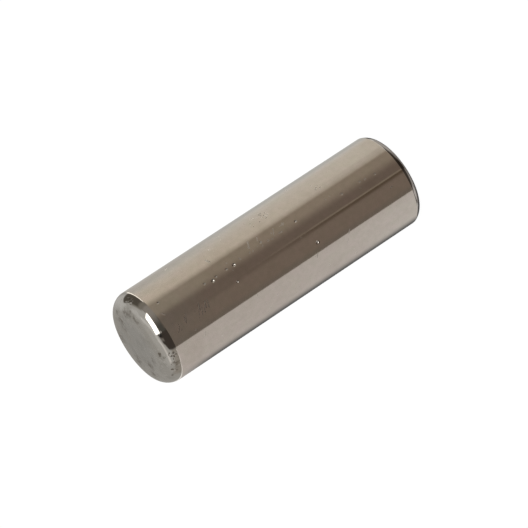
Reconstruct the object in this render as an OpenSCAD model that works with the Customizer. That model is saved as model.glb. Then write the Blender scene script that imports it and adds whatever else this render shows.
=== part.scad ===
// Dowel pin: a ground side between a well rounded head and a lead-in end with a smaller rounding.
// It stands on the flat face of its lead-in end, with +Z along its axis towards the head.

/* [Side] */
// Diameter of the ground side
pin_d = 10; // [8:0.5:20]
// Length over both faces
pin_l = 32; // [20:1:100]

/* [Head end] */
// Radius that rounds the rim into the head's flat face
head_round = 1.7; // [0.5:0.05:3]
// Slope at which the rounding leaves the ground side, in degrees
head_slope = 3; // [0:0.5:20]

/* [Lead-in end] */
// Radius that rounds the rim into the lead-in's flat face
lead_round = 1.2; // [0.3:0.05:3]
// Slope at which the rounding leaves the ground side, in degrees
lead_slope = 15; // [0:0.5:40]

/* [Hidden] */
$fn = 128;

polished_steel = [0.62, 0.58, 0.53];
pin_r = pin_d / 2;

// Half of an end's section, from its face at y = 0 to the height of the rounding's centre.
// The rounding is tangent to the face and crosses the ground side at the given slope.
module end_section(round, slope) {
    face_r = pin_r - round * cos(slope);
    square([face_r, round]);
    translate([face_r, round]) circle(round);
}

module half_section() {
    intersection() {
        square([pin_r, pin_l]);
        union() {
            end_section(lead_round, lead_slope);
            translate([0, lead_round]) square([pin_r, pin_l - lead_round - head_round]);
            translate([0, pin_l]) mirror([0, 1]) end_section(head_round, head_slope);
        }
    }
}

module pin() {
    color(polished_steel) rotate_extrude() half_section();
}

pin();
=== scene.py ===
"""Looks of a polished steel dowel pin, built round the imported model's frame.

The pin stands on its lead-in end, with +Z along its axis towards the rounded head.
Azimuth 0 is the side that faces the camera (-Y), and azimuth grows towards +X.
Lengths are in metres, written as millimetres times MM.
"""

import math
import random
from collections import namedtuple

import bmesh
import bpy
import numpy as np
from mathutils import Matrix, Vector
from mathutils.kdtree import KDTree


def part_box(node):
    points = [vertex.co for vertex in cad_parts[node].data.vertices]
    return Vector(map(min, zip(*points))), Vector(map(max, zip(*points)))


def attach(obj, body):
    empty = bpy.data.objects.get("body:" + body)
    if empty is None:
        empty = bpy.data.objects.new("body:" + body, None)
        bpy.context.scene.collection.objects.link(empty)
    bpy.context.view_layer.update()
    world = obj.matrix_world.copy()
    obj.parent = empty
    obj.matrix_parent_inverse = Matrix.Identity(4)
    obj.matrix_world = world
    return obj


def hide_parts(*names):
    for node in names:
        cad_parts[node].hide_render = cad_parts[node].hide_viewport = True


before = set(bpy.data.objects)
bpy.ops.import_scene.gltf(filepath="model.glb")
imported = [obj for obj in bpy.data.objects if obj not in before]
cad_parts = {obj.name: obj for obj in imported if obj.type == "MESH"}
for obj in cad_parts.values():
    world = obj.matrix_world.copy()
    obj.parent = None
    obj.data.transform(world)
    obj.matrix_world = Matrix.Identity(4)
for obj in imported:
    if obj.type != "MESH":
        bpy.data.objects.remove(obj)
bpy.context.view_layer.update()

MM = 0.001
SEED = 12
TINY = 1e-12
HALF_TURN = 180
FULL_TURN = (-HALF_TURN, HALF_TURN)
WHITE = (1.0, 1.0, 1.0, 1.0)

# Form of the pin, as in the part's own sizes
PIN_LOW, PIN_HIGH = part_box("pin")
PIN_R = PIN_HIGH.x
PIN_L = PIN_HIGH.z - PIN_LOW.z
HEAD_ROUND = 1.7 * MM
HEAD_SLOPE = math.radians(3)
LEAD_ROUND = 1.2 * MM
LEAD_SLOPE = math.radians(15)

# Spacing of the mesh
COLUMNS = 160
FACE_STEP = 0.15 * MM
RIM_STEP = 0.09 * MM
SIDE_STEP = 0.3 * MM
HEAD_EDGE = 0.13 * MM
LEAD_EDGE = 0.09 * MM

# Finer mesh round each mark: how often its faces are split, how far out they are split and how long an edge
# may stay, both in radii of the mark, and how many of the nearest marks a face is tested against
REFINE_LEVELS = 3
REFINE_REACH = 1.1
REFINE_SHARE = 0.75
NEAR_MARKS = 4

# Camera: the standing pin lies across the frame, so the camera is rolled
IMAGE_PX = 528
SENSOR_MM = 36.0
FOCAL_PX = 3060.0
CAMERA_DISTANCE = 299.6 * MM
CAMERA_ELEVATION = math.radians(21.01)
CAMERA_ROLL = math.radians(123.48)
CAMERA_NEAR = 1 * MM
PIN_RIGHT_OF_MIDDLE = 0.559 * MM
PIN_ABOVE_MIDDLE = 0.629 * MM

FLOOR_SIDE = 1.6
FLOOR_DROP = 0.01 * MM
FLOOR_GLOW = 0.97
FLOOR_COLOUR = (0.1, 0.1, 0.1, 1.0)


class End:
    """One end of the pin: a flat face, and a rounded rim that meets the side at a crisp edge."""

    def __init__(self, face_z, outward, rounding, slope, edge_width):
        self.face_z = face_z
        self.outward = outward
        self.rounding = rounding
        self.slope = slope
        self.edge_width = edge_width
        self.centre_r = PIN_R - rounding * math.cos(slope)
        self.centre_z = face_z - outward * rounding
        self.edge_z = self.centre_z + outward * rounding * math.sin(slope)

    def on_rim(self, angle):
        """(radius, height) on the rounding, at an angle up from the side."""
        across = self.rounding * math.cos(angle)
        along = self.rounding * math.sin(angle)
        return self.centre_r + across, self.centre_z + self.outward * along

    def at(self, azimuth, reach):
        """The point at a distance from the face's middle, measured over face and rim."""
        radius, height = reach, self.face_z
        if reach > self.centre_r:
            radius, height = self.on_rim(math.pi / 2 - (reach - self.centre_r) / self.rounding)
        return around_axis(azimuth, radius, height)

    def face_rows(self):
        count = round(self.centre_r / FACE_STEP)
        return [(self.centre_r * i / count, self.face_z) for i in range(1, count)]

    def rim_rows(self):
        """From the face to just short of the side's edge."""
        turn = math.pi / 2 - self.slope - self.edge_width / 2 / self.rounding
        count = round(turn * self.rounding / RIM_STEP)
        return [self.on_rim(math.pi / 2 - turn * i / count) for i in range(count + 1)]


def around_axis(azimuth, radius, height):
    angle = math.radians(azimuth)
    return Vector((radius * math.sin(angle), -radius * math.cos(angle), height))


HEAD = End(PIN_L, 1, HEAD_ROUND, HEAD_SLOPE, HEAD_EDGE)
LEAD = End(0.0, -1, LEAD_ROUND, LEAD_SLOPE, LEAD_EDGE)


def side_rows():
    """(radius, height) down the ground side, just inside its two edges."""
    top = HEAD.edge_z - HEAD_EDGE / 2
    bottom = LEAD.edge_z + LEAD_EDGE / 2
    count = round((top - bottom) / SIDE_STEP)
    return [(PIN_R, top + (bottom - top) * i / count) for i in range(count + 1)]


# Wear: dents and scratches in the true form. Each is a smooth bowl or groove along the line from start to
# end, and dirt says how much residue it holds.
Mark = namedtuple("Mark", "start end radius depth dirt")

# Nicks that stand out on the side: azimuth in degrees, height, radius and depth in millimetres, dirt
SIDE_NICKS = [
    (13, 23.7, 0.20, 0.095, 0.0),
    (15, 21.0, 0.20, 0.090, 0.0),
    (-15.5, 12.5, 0.20, 0.110, 0.0),
    (18, 13.2, 0.16, 0.040, 0.2),
    (15.5, 24.6, 0.15, 0.030, 0.0),
    (15, 23.2, 0.15, 0.030, 0.0),
    (15.5, 21.9, 0.16, 0.030, 0.0),
    (-3, 21.7, 0.15, 0.075, 0.0),
    (20, 17.4, 0.15, 0.025, 0.0),
    (15, 7.6, 0.20, 0.014, 0.0),
    (15.5, 5.3, 0.16, 0.010, 0.0),
    (13.5, 3.5, 0.15, 0.010, 0.0),
    (27, 29.4, 0.16, 0.030, 1.0),
]

# Pits in the head's rim: azimuth in degrees, reach, radius and depth in millimetres, dirt
HEAD_PITS = [
    (-30, 5.48, 0.13, 0.030, 1.6),
    (-35, 5.46, 0.12, 0.030, 1.5),
    (-33.5, 5.20, 0.12, 0.030, 1.5),
    (-33, 5.67, 0.09, 0.020, 1.4),
    (-29, 5.10, 0.10, 0.025, 1.3),
    (-38, 5.30, 0.10, 0.025, 1.2),
]

# Patches of finer marks: azimuths in degrees, heights or reaches in millimetres, how many, how long in
# millimetres, lean away from the axis in degrees, dirt, and how much steeper than the rest they are
PATCH_FIELDS = "azimuths reaches count length lean dirt steeper"
ANY_LEAN = (0, HALF_TURN)
SLANTED = (105, 130)
Patch = namedtuple("Patch", PATCH_FIELDS, defaults=(ANY_LEAN, 0.0, 1.0))
SIDE_PATCHES = [
    Patch((-14, -4), (25.1, 27.1), 10, 1.4, SLANTED, 0.0, 2.5),
    Patch((-16, -2), (28.0, 29.6), 8, 1.0, SLANTED, 0.0, 2.5),
    Patch((14, 26), (15.5, 19), 8, 0.8, SLANTED),
    Patch((40, 57), (14.4, 17.6), 16, 0.4, ANY_LEAN, 1.0, 4.0),
    Patch((36, 46), (8.6, 9.6), 5, 0.3, ANY_LEAN, 0.6, 3.0),
    Patch((-62, -28), (3, 29), 12, 0.7, SLANTED, 0.0, 2.0),
    Patch((8, 24), (3, 25), 16, 0.4, ANY_LEAN, 0.0, 1.5),
    Patch(FULL_TURN, (1.5, 30), 50, 0.5, ANY_LEAN, 0.0, 1.5),
]
SIDE_RADII = (0.06, 0.14)
SIDE_STEEPNESS = (0.012, 0.035)
HEAD_PATCHES = [
    Patch((-42, -29), (4.9, 5.75), 12, 0.1, ANY_LEAN, 1.2),
    Patch((48, 66), (4.9, 5.5), 9, 0.2, ANY_LEAN, 1.2),
    Patch((-100, -30), (2.4, 4.4), 20, 0.4, ANY_LEAN, 0.4),
    Patch((25, 100), (2.2, 4.4), 20, 0.6, (0, 60), 0.4),
    Patch(FULL_TURN, (1.2, 5.2), 60, 0.3, ANY_LEAN, 0.4),
    Patch((-62, -42), (4.8, 5.7), 14, 0.15, ANY_LEAN, 1.2),
]
HEAD_RADII = (0.07, 0.20)
HEAD_STEEPNESS = (0.02, 0.09)
LEAD_PATCHES = [Patch(FULL_TURN, (1.0, 4.6), 60, 0.3, ANY_LEAN, 0.4)]

# Stains on the head: azimuth in degrees, reach and radius in millimetres, strength
HEAD_STAINS = [
    (56, 3.85, 0.80, 0.64),
    (44, 4.05, 0.60, 0.60),
    (84, 3.60, 0.90, 0.56),
    (91, 2.75, 0.90, 0.60),
    (34, 4.10, 0.55, 0.60),
    (101, 2.00, 0.90, 0.50),
    (-27, 4.12, 0.25, 1.05),
    (-31, 4.02, 0.22, 0.80),
    (-90, 2.40, 0.85, 0.65),
    (-56, 2.70, 0.75, 0.60),
    (-101, 3.30, 0.90, 0.60),
    (-47, 5.35, 0.75, 0.55),
    (-60, 5.00, 0.60, 0.42),
    (-66, 4.90, 0.25, 0.60),
    (28, 3.90, 0.45, 0.55),
    (-34, 4.48, 0.25, 0.90),
    (150, 3.20, 1.10, 0.65),
    (-150, 2.40, 1.00, 0.60),
    (178, 4.80, 0.90, 0.70),
]

# Stains at random on the lead-in face: how many, reaches and radii in millimetres, strengths
LEAD_STAIN_COUNT = 9
LEAD_STAIN_REACHES = (1.0, 4.2)
LEAD_STAIN_RADII = (0.5, 1.1)
LEAD_STAIN_STRENGTHS = (0.5, 0.8)


def scattered(dice, place, patches, radii, steepness):
    """Marks at random places in each patch, more of them small than large."""
    marks = []
    for patch in patches:
        for _ in range(patch.count):
            azimuth = dice.uniform(*patch.azimuths)
            reach = dice.uniform(*patch.reaches) * MM
            radius = (radii[0] + (radii[1] - radii[0]) * dice.random() ** 2) * MM
            depth = radius * dice.uniform(*steepness) * patch.steeper
            length = patch.length * MM * dice.random() ** 2
            lean = math.radians(dice.uniform(*patch.lean))
            turn = math.degrees(length * math.sin(lean) / PIN_R)
            start = place(azimuth, reach)
            end = place(azimuth + turn, reach + length * math.cos(lean))
            marks.append(Mark(start, end, radius, depth, patch.dirt * dice.random()))
    return marks


def side_point(azimuth, height):
    return around_axis(azimuth, PIN_R, height)


def dents(place, rows):
    """A round mark for each row of a list of nicks or pits."""
    marks = []
    for azimuth, reach, radius, depth, dirt in rows:
        centre = place(azimuth, reach * MM)
        marks.append(Mark(centre, centre, radius * MM, depth * MM, dirt))
    return marks


def all_marks():
    dice = random.Random(SEED)
    marks = dents(side_point, SIDE_NICKS) + dents(HEAD.at, HEAD_PITS)
    marks += scattered(dice, side_point, SIDE_PATCHES, SIDE_RADII, SIDE_STEEPNESS)
    marks += scattered(dice, HEAD.at, HEAD_PATCHES, HEAD_RADII, HEAD_STEEPNESS)
    marks += scattered(dice, LEAD.at, LEAD_PATCHES, HEAD_RADII, HEAD_STEEPNESS)
    return marks


def all_stains():
    """(centre, radius, strength) of each stain, given one by one on the head and at random on the lead-in
    face.
    """
    dice = random.Random(SEED)
    stains = []
    for azimuth, reach, radius, strength in HEAD_STAINS:
        stains.append((HEAD.at(azimuth, reach * MM), radius * MM, strength))
    for _ in range(LEAD_STAIN_COUNT):
        centre = LEAD.at(dice.uniform(*FULL_TURN), dice.uniform(*LEAD_STAIN_REACHES) * MM)
        radius = dice.uniform(*LEAD_STAIN_RADII) * MM
        stains.append((centre, radius, dice.uniform(*LEAD_STAIN_STRENGTHS)))
    return stains


def true_surface(points):
    """The nearest points of the pin's true form, and its normals there."""
    around = np.hypot(points[:, 0], points[:, 1])
    out = points[:, :2] / np.maximum(around, TINY)[:, None]
    height = points[:, 2].copy()
    normal_r = np.ones(len(points))
    normal_z = np.zeros(len(points))
    radius = np.full(len(points), PIN_R)
    for end in (HEAD, LEAD):
        past_edge = (height - end.edge_z) * end.outward > 0
        on_face = past_edge & (around < end.centre_r)
        on_rim = past_edge & ~on_face
        to_r = around - end.centre_r
        to_z = height - end.centre_z
        length = np.hypot(to_r, to_z)
        normal_r = np.where(on_rim, to_r / length, normal_r)
        normal_z = np.where(on_rim, to_z / length, normal_z)
        radius = np.where(on_rim, end.centre_r + end.rounding * to_r / length, radius)
        height = np.where(on_rim, end.centre_z + end.rounding * to_z / length, height)
        normal_r = np.where(on_face, 0.0, normal_r)
        normal_z = np.where(on_face, end.outward, normal_z)
        radius = np.where(on_face, around, radius)
        height = np.where(on_face, end.face_z, height)
    placed = np.column_stack([out * radius[:, None], height])
    normals = np.column_stack([out * normal_r[:, None], normal_z])
    return placed, normals


def worn(points, normals, marks):
    """The marked surface, its normals, and how scuffed and how dirty each point is, from 0 to 1.

    A mark's depth falls off as the square of bowl, so its slope falls off as bowl itself.
    """
    drop = np.zeros(len(points))
    slope = np.zeros_like(points)
    scuff = np.zeros(len(points))
    dirt = np.zeros(len(points))
    for mark in marks:
        offset = points - np.array(mark.start)
        line = np.array(mark.end - mark.start)
        passed = np.clip(offset @ line / max(line @ line, TINY), 0, 1)
        offset -= passed[:, None] * line
        share = (offset**2).sum(axis=1) / mark.radius**2
        inside = share < 1
        bowl = 1 - share[inside]
        drop[inside] += mark.depth * bowl**2
        slope[inside] += (mark.depth * 4 / mark.radius**2) * bowl[:, None] * offset[inside]
        scuff[inside] = np.maximum(scuff[inside], bowl)
        dirt[inside] = np.maximum(dirt[inside], bowl * mark.dirt)
    slope -= (slope * normals).sum(axis=1)[:, None] * normals
    new_normals = normals - slope
    new_normals /= np.linalg.norm(new_normals, axis=1)[:, None]
    return points - drop[:, None] * normals, new_normals, scuff, dirt


def stained(points, dirt, stains):
    """The dirt with the stains added to it."""
    for centre, radius, strength in stains:
        share = ((points - np.array(centre)) ** 2).sum(axis=1) / radius**2
        dirt = np.maximum(dirt, strength * np.maximum(1 - share, 0))
    return dirt


def turned_mesh():
    """A closed lathe mesh of the pin, from the middle of the head to the middle of the lead-in face."""
    rows = HEAD.face_rows() + HEAD.rim_rows() + side_rows()
    rows += LEAD.rim_rows()[::-1] + LEAD.face_rows()[::-1]
    bm = bmesh.new()
    azimuths = [360 * i / COLUMNS for i in range(COLUMNS)]
    rings = [[bm.verts.new(around_axis(a, r, z)) for a in azimuths] for r, z in rows]
    for upper, lower in zip(rings[:-1], rings[1:]):
        for i in range(COLUMNS):
            j = (i + 1) % COLUMNS
            bm.faces.new((upper[i], lower[i], lower[j], upper[j]))
    top = bm.verts.new((0, 0, HEAD.face_z))
    bottom = bm.verts.new((0, 0, LEAD.face_z))
    for i in range(COLUMNS):
        j = (i + 1) % COLUMNS
        bm.faces.new((top, rings[0][i], rings[0][j]))
        bm.faces.new((bottom, rings[-1][j], rings[-1][i]))
    return bm


def refine(bm, marks):
    """Makes triangles of all faces, and splits those round each mark until they are small against it.

    The edges are kept as keys, because their order is then the same on each run.
    """
    bmesh.ops.triangulate(bm, faces=bm.faces[:])
    tree = KDTree(len(marks))
    for i, mark in enumerate(marks):
        tree.insert((mark.start + mark.end) / 2, i)
    tree.balance()
    for _ in range(REFINE_LEVELS):
        edges = {}
        for face in bm.faces:
            longest = max(edge.calc_length() for edge in face.edges)
            for _, i, distance in tree.find_n(face.calc_center_median(), NEAR_MARKS):
                half_length = (marks[i].end - marks[i].start).length / 2
                close = distance < marks[i].radius * REFINE_REACH + half_length + longest / 2
                if close and longest > marks[i].radius * REFINE_SHARE:
                    edges.update(dict.fromkeys(face.edges))
        bmesh.ops.subdivide_edges(bm, edges=list(edges), cuts=1, use_grid_fill=True, use_single_edge=True)
        bmesh.ops.triangulate(bm, faces=bm.faces[:])


def add_layer(mesh, name, values):
    mesh.attributes.new(name, "FLOAT", "POINT").data.foreach_set("value", values)


def make_pin():
    marks = all_marks()
    bm = turned_mesh()
    refine(bm, marks)
    mesh = bpy.data.meshes.new("dowel_pin")
    bm.to_mesh(mesh)
    bm.free()
    points = np.empty(len(mesh.vertices) * 3)
    mesh.vertices.foreach_get("co", points)
    placed, normals = true_surface(points.reshape(-1, 3))
    placed, normals, scuff, dirt = worn(placed, normals, marks)
    mesh.vertices.foreach_set("co", placed.ravel())
    mesh.polygons.foreach_set("use_smooth", [True] * len(mesh.polygons))
    add_layer(mesh, SCUFF_LAYER, scuff)
    add_layer(mesh, DIRT_LAYER, stained(placed, dirt, all_stains()))
    mesh.update()
    mesh.normals_split_custom_set_from_vertices(normals.tolist())
    pin = bpy.data.objects.new("dowel_pin", mesh)
    bpy.context.scene.collection.objects.link(pin)
    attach(pin, "root")
    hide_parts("pin")
    return pin


# Sockets of the mix node, which has a set of them for each kind of value
MIX_NUMBERS = (2, 3)
MIX_COLOURS = (6, 7)
MIXED_NUMBER = 0
MIXED_COLOUR = 2


class Tree:
    """A node tree with short calls for the nodes that the material and the studio use."""

    def __init__(self, owner):
        owner.use_nodes = True
        self.tree = owner.node_tree
        self.tree.nodes.clear()

    def node(self, kind, inputs=(), **settings):
        made = self.tree.nodes.new(kind)
        for name, value in settings.items():
            setattr(made, name, value)
        for key, value in dict(inputs).items():
            if isinstance(value, bpy.types.NodeSocket):
                self.tree.links.new(value, made.inputs[key])
            else:
                made.inputs[key].default_value = value
        return made

    def math(self, operation, first, second=0.0):
        return self.node("ShaderNodeMath", {0: first, 1: second}, operation=operation).outputs[0]

    def step(self, value, start, end, top=1.0):
        """0 before start and top past end, with a smooth ramp between them. Start may lie above end."""
        inputs = {"Value": value, "From Min": start, "From Max": end, "To Max": top}
        ramp = self.node("ShaderNodeMapRange", inputs, interpolation_type="SMOOTHSTEP")
        return ramp.outputs["Result"]

    def spread(self, value, low, high):
        """A 0 to 1 value turned into one between low and high."""
        inputs = {"Value": value, "To Min": low, "To Max": high}
        return self.node("ShaderNodeMapRange", inputs).outputs["Result"]

    def mix(self, factor, first, second):
        """Two colours mixed."""
        inputs = {"Factor": factor, MIX_COLOURS[0]: first, MIX_COLOURS[1]: second}
        return self.node("ShaderNodeMix", inputs, data_type="RGBA").outputs[MIXED_COLOUR]

    def blend(self, factor, first, second):
        """Two numbers mixed."""
        inputs = {"Factor": factor, MIX_NUMBERS[0]: first, MIX_NUMBERS[1]: second}
        return self.node("ShaderNodeMix", inputs, data_type="FLOAT").outputs[MIXED_NUMBER]

    def noise(self, vector, grain):
        """Cloudy noise with features of about the grain's length."""
        inputs = {"Vector": vector, "Scale": 1 / grain.length, "Detail": grain.detail}
        return self.node("ShaderNodeTexNoise", inputs).outputs["Fac"]

    def stretched(self, vector, factors):
        return self.node("ShaderNodeVectorMath", {0: vector, 1: factors}, operation="MULTIPLY").outputs[0]


# Steel: layers of the mesh that its material reads
SCUFF_LAYER = "scuff"
DIRT_LAYER = "dirt"

# Steel: colours
SIDE_WARM = (0.668, 0.593, 0.560, 1.0)
SIDE_COOL = (0.636, 0.615, 0.530, 1.0)
FACE_COLOUR = (0.56, 0.54, 0.51, 1.0)
RIM_COLOUR = (0.64, 0.615, 0.575, 1.0)
FRESH_COLOUR = (0.86, 0.83, 0.79, 1.0)
STAIN_COLOUR = (0.52, 0.475, 0.41, 1.0)
TARNISH_COLOUR = (0.36, 0.345, 0.31, 1.0)
GRIME_COLOUR = (0.27, 0.24, 0.205, 1.0)

# Steel: length and detail of each noise
Grain = namedtuple("Grain", "length detail")
CLOUDS = Grain(3 * MM, 5.0)
TINT = Grain(1.0 * MM, 4.0)
PATINA = Grain(0.5 * MM, 4.0)
TARNISH = Grain(0.9 * MM, 4.0)
GRIME = Grain(0.4 * MM, 6.0)
FROST = Grain(0.12 * MM, 3.0)
GRIND = Grain(0.08 * MM, 2.0)
PEEL = Grain(1.5 * MM, 2.0)
GRIND_STRETCH = (0.03, 0.03, 1.0)

# Steel: the values between which each effect sets in, and how strongly it then shows
PATINA_RAMP = (0.32, 0.68)
PATINA_SHARE = 0.13
STAIN_RAMP = (0.5, 0.75)
STAIN_SHARE = 0.35
TARNISH_RAMP = (0.48, 0.72)
TARNISH_SHARE_SIDE = 0.04
TARNISH_SHARE_ENDS = 0.35
GRIME_SPREAD = (-0.8, 2.8)
GRIME_RAMP = (0.2, 1.0)
FRESH_SHARE = 0.3
DULL_R = (1.9 * MM, 3.9 * MM)
FACE_FADE = 0.6 * MM

# Steel: roughness, and depth of the polish's waves and of the grinding lines
POLISHED_ROUGH = (0.03, 0.08)
TUMBLED_ROUGH = (0.16, 0.34)
FROST_ROUGH = 0.04
SCUFF_RAMP = (0.0, 0.8)
SCUFF_ROUGH = 0.36
PEEL_DEPTH = 0.003 * MM
GRIND_DEPTH = 0.00006 * MM


def end_masks(tree, height):
    """How far a point lies on either end, and how far on its flat face, from 0 to 1."""
    ends = 0.0
    faces = 0.0
    for end in (HEAD, LEAD):
        edge = end.outward * end.edge_width
        on_end = tree.step(height, end.edge_z - edge, end.edge_z + edge)
        on_face = tree.step(height, end.face_z - end.outward * FACE_FADE, end.face_z)
        ends = tree.math("ADD", on_end, ends)
        faces = tree.math("ADD", on_face, faces)
    return ends, faces


def steel_colour(tree, place, clouds, ends, scuff, dirt):
    """Tinted side and duller end faces, then stains, tarnish, fresh metal in the marks, and grime."""
    flat = tree.stretched(place, (1.0, 1.0, 0.0))
    radius = tree.node("ShaderNodeVectorMath", {0: flat}, operation="LENGTH").outputs["Value"]
    patina = tree.step(tree.noise(place, PATINA), *PATINA_RAMP, PATINA_SHARE)
    stain = tree.step(clouds, *STAIN_RAMP, STAIN_SHARE)
    tarnish_share = tree.blend(ends, TARNISH_SHARE_SIDE, TARNISH_SHARE_ENDS)
    tarnish = tree.step(tree.noise(place, TARNISH), *TARNISH_RAMP, tarnish_share)
    fresh = tree.math("MULTIPLY", scuff, FRESH_SHARE)
    ragged = tree.spread(tree.noise(place, GRIME), *GRIME_SPREAD)
    grime = tree.step(tree.math("MULTIPLY", dirt, ragged), *GRIME_RAMP)

    side_colour = tree.mix(tree.noise(place, TINT), SIDE_WARM, SIDE_COOL)
    side_colour = tree.mix(patina, side_colour, TARNISH_COLOUR)
    end_colour = tree.mix(tree.step(radius, *DULL_R), FACE_COLOUR, RIM_COLOUR)
    colour = tree.mix(ends, side_colour, end_colour)
    colour = tree.mix(stain, colour, STAIN_COLOUR)
    colour = tree.mix(tarnish, colour, TARNISH_COLOUR)
    colour = tree.mix(fresh, colour, FRESH_COLOUR)
    return tree.mix(grime, colour, GRIME_COLOUR)


def steel_roughness(tree, place, clouds, grind, faces, scuff):
    """Polished side and rims, tumbled faces, a little frost on both, and dull marks."""
    polished = tree.spread(grind, *POLISHED_ROUGH)
    tumbled = tree.spread(clouds, *TUMBLED_ROUGH)
    frost = tree.math("MULTIPLY", tree.noise(place, FROST), FROST_ROUGH)
    rough = tree.math("ADD", tree.blend(faces, polished, tumbled), frost)
    return tree.blend(tree.step(scuff, *SCUFF_RAMP), rough, SCUFF_ROUGH)


def steel_normal(tree, place, grind):
    """Faint waves left by the polish, with grinding lines over them."""
    peel = tree.noise(place, PEEL)
    wavy = tree.node("ShaderNodeBump", {"Height": peel, "Distance": PEEL_DEPTH, "Strength": 1.0})
    inputs = {"Height": grind, "Distance": GRIND_DEPTH, "Strength": 1.0, "Normal": wavy.outputs[0]}
    return tree.node("ShaderNodeBump", inputs).outputs[0]


def steel_material():
    steel = bpy.data.materials.new("polished_steel")
    tree = Tree(steel)
    place = tree.node("ShaderNodeTexCoord").outputs["Object"]
    height = tree.node("ShaderNodeSeparateXYZ", {0: place}).outputs["Z"]
    ends, faces = end_masks(tree, height)
    scuff = tree.node("ShaderNodeAttribute", attribute_name=SCUFF_LAYER).outputs["Fac"]
    dirt = tree.node("ShaderNodeAttribute", attribute_name=DIRT_LAYER).outputs["Fac"]
    clouds = tree.noise(place, CLOUDS)
    grind = tree.noise(tree.stretched(place, GRIND_STRETCH), GRIND)
    inputs = {
        "Base Color": steel_colour(tree, place, clouds, ends, scuff, dirt),
        "Metallic": 1.0,
        "Roughness": steel_roughness(tree, place, clouds, grind, faces, scuff),
        "Normal": steel_normal(tree, place, grind),
    }
    shader = tree.node("ShaderNodeBsdfPrincipled", inputs)
    tree.node("ShaderNodeOutputMaterial", {"Surface": shader.outputs[0]})
    return steel


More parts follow.
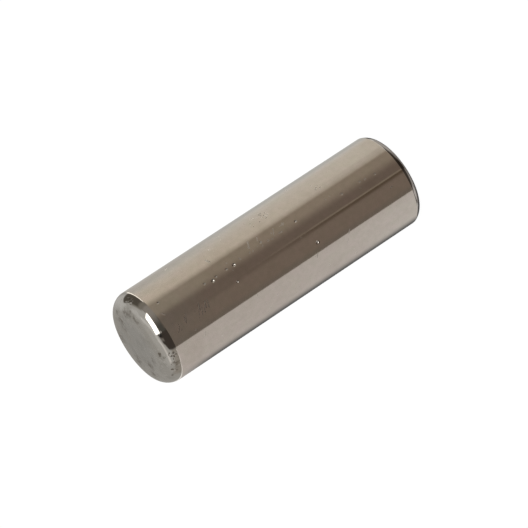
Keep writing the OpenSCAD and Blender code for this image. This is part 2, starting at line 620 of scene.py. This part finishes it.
# Studio: panels all round the pin, later ones over earlier ones. Azimuth and latitude are in degrees, soft
# says how gradual the low and high azimuth edges and the low and high latitude edges are, and tilt is how
# far the panel's latitudes sink for each degree of azimuth.
Panel = namedtuple("Panel", "azimuth latitude soft light tilt", defaults=(0.0,))
ALL_ROUND = (-900, 900)
HORIZON = -17.4
SURROUND = (0.49, 0.48, 0.46)
PANELS = {
    # Above the horizon: walls, strips of light, dark flags and the lamp
    "back_wall": Panel((118, 242), (-30, 72), (14, 14, 1, 10), (0.40, 0.39, 0.37)),
    "wall_right_lit": Panel((124, 162), (-8, 34), (4, 6, 6, 8), (0.58, 0.575, 0.56)),
    "stand_left": Panel((237, 309), (-30, 16), (8, 3, 1, 8), (0.35, 0.322, 0.288)),
    "strip": Panel((-40, 85), (56, 70), (10, 10, 3, 5), (0.68, 0.67, 0.65)),
    "strip_left": Panel((-95, -32), (70, 82), (8, 8, 4, 4), (0.76, 0.73, 0.705), -0.45),
    "strip_right": Panel((84, 122), (42, 62), (6, 8, 5, 5), (0.58, 0.57, 0.555)),
    "flag": Panel((-38, -3), (-30, 53), (3, 1.5, 1, 5), (0.058, 0.048, 0.041), -0.25),
    "flag_foot": Panel((-52, -31), (-30, 74), (3, 3, 1, 5), (0.058, 0.048, 0.041), -0.9),
    "flag_sheen": Panel((-28, -20), (30, 46), (3, 3, 4, 4), (0.22, 0.20, 0.18)),
    "flag_line": Panel((-15, -6), (29, 45), (3, 1.5, 3, 3), (0.01, 0.01, 0.01)),
    "under_lamp": Panel((-6, 76), (-30, 32), (1.5, 8, 1, 3), (0.085, 0.08, 0.07), 0.15),
    "under_lamp_lit": Panel((24, 68), (-30, 32), (18, 8, 1, 3), (0.31, 0.285, 0.26), 0.15),
    "dome_glow": Panel((66, 104), (-30, 30), (6, 8, 1, 5), (0.235, 0.217, 0.188)),
    "card_rise": Panel((-2, 26), (-30, -9), (2, 8, 1, 5), (0.13, 0.112, 0.096)),
    "dome": Panel((78, 131), (-30, 23.5), (5, 3, 1, 3), (0.105, 0.093, 0.077)),
    "lamp": Panel((-6, 49.5), (32, 58.5), (2, 3, 2, 3), (4.0, 3.95, 3.85), 0.26),
    "lamp_foot": Panel((-7, -2.5), (19, 33), (1, 1, 3, 2), (0.5, 0.48, 0.45)),
    # At the horizon: the table on both sides, and between them a dark card with a seam
    "table_left": Panel((185, 307.4), (-48, HORIZON), (4, 1.0, 3, 0.6), (0.61, 0.575, 0.56)),
    "table_left_far": Panel((185, 300), (-48, -24), (4, 20, 3, 4), (0.735, 0.725, 0.715)),
    "table_right": Panel((40, 180), (-48, HORIZON), (4, 1, 3, 0.6), (0.66, 0.595, 0.515)),
    "table_right_far": Panel((112, 180), (-48, HORIZON), (40, 1, 3, 0.6), (0.74, 0.735, 0.72)),
    "table_right_low": Panel((60, 128), (-48, -22), (8, 14, 3, 2.5), (0.705, 0.665, 0.60)),
    "table_far_edge": Panel((64, 78), (-48, -22.6), (4, 5, 3, 0.8), (0.60, 0.55, 0.495)),
    "table_right_end": Panel((141, 180), (-48, HORIZON), (14, 1, 3, 0.6), (0.56, 0.56, 0.545)),
    "table_right_top": Panel((120, 180), (-20.2, HORIZON), (14, 1, 1.2, 0.6), (0.57, 0.556, 0.53)),
    "table_near": Panel((66, 150), (-47, -31), (4, 8, 2, 2), (0.85, 0.83, 0.80)),
    "dark_card": Panel((-52.1, 58), (-48, HORIZON), (1.0, 4, 3, 0.6), (0.22, 0.175, 0.145)),
    "card_low_edge": Panel((-52.1, -42), (-48, HORIZON), (1.0, 7, 3, 0.6), (0.19, 0.16, 0.136)),
    "card_shade": Panel((-6, 45), (-48, HORIZON), (7, 4, 3, 0.6), (0.18, 0.14, 0.117)),
    "card_lit_edge": Panel((30, 62.3), (-48, HORIZON), (14, 11, 3, 0.6), (0.325, 0.274, 0.222)),
    "card_lit_top": Panel((26, 63), (-19.3, HORIZON), (10, 12, 0.8, 0.6), (0.33, 0.30, 0.25)),
    "card_top": Panel((-52.1, 26), (-19.2, HORIZON), (1.0, 10, 0.6, 0.6), (0.19, 0.169, 0.148)),
    "seam_dark": Panel((-4.8, 1.1), (-60, -21.9), (3.5, 0.6, 1, 0.9), (0.115, 0.085, 0.06)),
    "seam_lit": Panel((1.3, 4.4), (-60, -21.9), (0.5, 1.0, 1, 0.9), (0.27, 0.225, 0.18)),
    # The dark far side, and the bright line over the table
    "dark_back": Panel((180, 219), (-50, -18.8), (1, 19, 3, 0.6), (0.13, 0.13, 0.13)),
    "skyline_left": Panel((185, 304), (-16.8, -13.4), (6, 4, 0.4, 0.6), (1.0, 0.97, 0.94)),
    "skyline_right": Panel((78, 140), (-16.8, -13.4), (6, 6, 0.4, 0.6), (1.8, 1.72, 1.6)),
    # Below the table
    "low_floor": Panel(ALL_ROUND, (-95, -46), (1, 1, 1, 2), (0.26, 0.24, 0.23)),
    "low_dark": Panel((-74, 91), (-95, -46), (10, 4, 1, 2), (0.06, 0.048, 0.04)),
    "low_gap": Panel((-5, 60), (-95, -58), (8, 15, 1, 4), (0.03, 0.022, 0.018)),
    "low_gap_back": Panel((60, 180), (-95, -75), (15, 4, 1, 4), (0.03, 0.022, 0.018)),
    "low_lit_right": Panel((99, 160), (-64, -40), (5, 6, 3, 2), (0.46, 0.43, 0.41)),
    "low_edge_left": Panel((250, 304), (-49, -32), (4, 2, 3, 3), (0.13, 0.115, 0.11)),
    "low_lit_left": Panel((236, 283), (-67, -49.5), (5, 4, 3, 2), (0.58, 0.55, 0.54)),
    "low_lit_back": Panel((200, 262), (-80, -67), (6, 6, 3, 2), (0.38, 0.36, 0.35)),
    "low_back": Panel((184, 234), (-64, -28), (3, 6, 3, 3), (0.11, 0.105, 0.105)),
    "low_back_right": Panel((157, 184), (-50, -28.5), (5, 1, 3, 1.5), (0.10, 0.10, 0.10)),
    "far_corner": Panel((142, 170), (-39, -30.5), (4, 4, 2, 2), (0.05, 0.046, 0.042)),
}


def panel_mask(tree, azimuths, latitude, panel):
    """1 inside the panel. A panel that reaches past half a turn is measured from 0 to 360 degrees."""
    signed, positive = azimuths
    reaches_past = panel.azimuth[1] > HALF_TURN and panel.azimuth != ALL_ROUND
    azimuth = positive if reaches_past else signed
    if panel.tilt:
        latitude = tree.math("ADD", latitude, tree.math("MULTIPLY", azimuth, panel.tilt))
    edges = [(azimuth, panel.azimuth), (latitude, panel.latitude)]
    mask = 1.0
    for i, (value, (low, high)) in enumerate(edges):
        soft_low, soft_high = panel.soft[2 * i : 2 * i + 2]
        mask = tree.step(value, low - soft_low, low + soft_low, mask)
        mask = tree.step(value, high + soft_high, high - soft_high, mask)
    return mask


def make_studio():
    world = bpy.data.worlds.new("studio")
    bpy.context.scene.world = world
    tree = Tree(world)
    direction = tree.node("ShaderNodeTexCoord").outputs["Generated"]
    axes = tree.node("ShaderNodeSeparateXYZ", {0: direction}).outputs
    to_camera = tree.math("MULTIPLY", axes["Y"], -1.0)
    azimuth = tree.math("DEGREES", tree.math("ARCTAN2", axes["X"], to_camera))
    azimuths = (azimuth, tree.math("FLOORED_MODULO", azimuth, 360.0))
    latitude = tree.math("DEGREES", tree.math("ARCSINE", axes["Z"]))
    light = (*SURROUND, 1.0)
    for panel in PANELS.values():
        light = tree.mix(panel_mask(tree, azimuths, latitude, panel), light, (*panel.light, 1.0))
    seen = tree.node("ShaderNodeLightPath").outputs["Is Camera Ray"]
    shown = tree.mix(seen, light, WHITE)
    background = tree.node("ShaderNodeBackground", {"Color": shown, "Strength": 1.0})
    tree.node("ShaderNodeOutputWorld", {"Surface": background.outputs[0]})


def make_floor():
    half = FLOOR_SIDE / 2
    mesh = bpy.data.meshes.new("floor")
    corners = [(-half, -half), (half, -half), (half, half), (-half, half)]
    mesh.from_pydata([(x, y, -FLOOR_DROP) for x, y in corners], [], [(0, 1, 2, 3)])
    floor = bpy.data.objects.new("floor", mesh)
    bpy.context.scene.collection.objects.link(floor)
    floor.visible_glossy = False
    pale = bpy.data.materials.new("pale_floor")
    tree = Tree(pale)
    glow = tree.node("ShaderNodeEmission", {"Color": WHITE, "Strength": FLOOR_GLOW})
    matt = tree.node("ShaderNodeBsdfDiffuse", {"Color": FLOOR_COLOUR})
    both = tree.node("ShaderNodeAddShader", {0: glow.outputs[0], 1: matt.outputs[0]})
    tree.node("ShaderNodeOutputMaterial", {"Surface": both.outputs[0]})
    mesh.materials.append(pale)


def make_camera():
    data = bpy.data.cameras.new("camera")
    data.sensor_width = SENSOR_MM
    data.lens = FOCAL_PX / IMAGE_PX * SENSOR_MM
    data.clip_start = CAMERA_NEAR
    camera = bpy.data.objects.new("camera", data)
    bpy.context.scene.collection.objects.link(camera)
    upright = Matrix.Rotation(math.pi / 2 - CAMERA_ELEVATION, 3, "X")
    turned = upright @ Matrix.Rotation(-CAMERA_ROLL, 3, "Z")
    right, up, back = turned.col
    middle = Vector((0, 0, (HEAD.edge_z + LEAD.edge_z) / 2))
    place = middle + back * CAMERA_DISTANCE - right * PIN_RIGHT_OF_MIDDLE - up * PIN_ABOVE_MIDDLE
    camera.matrix_world = Matrix.Translation(place) @ turned.to_4x4()
    bpy.context.scene.camera = camera


bpy.context.scene.view_settings.view_transform = "Standard"
make_camera()
make_floor()
make_studio()
pin = make_pin()
pin.data.materials.append(steel_material())
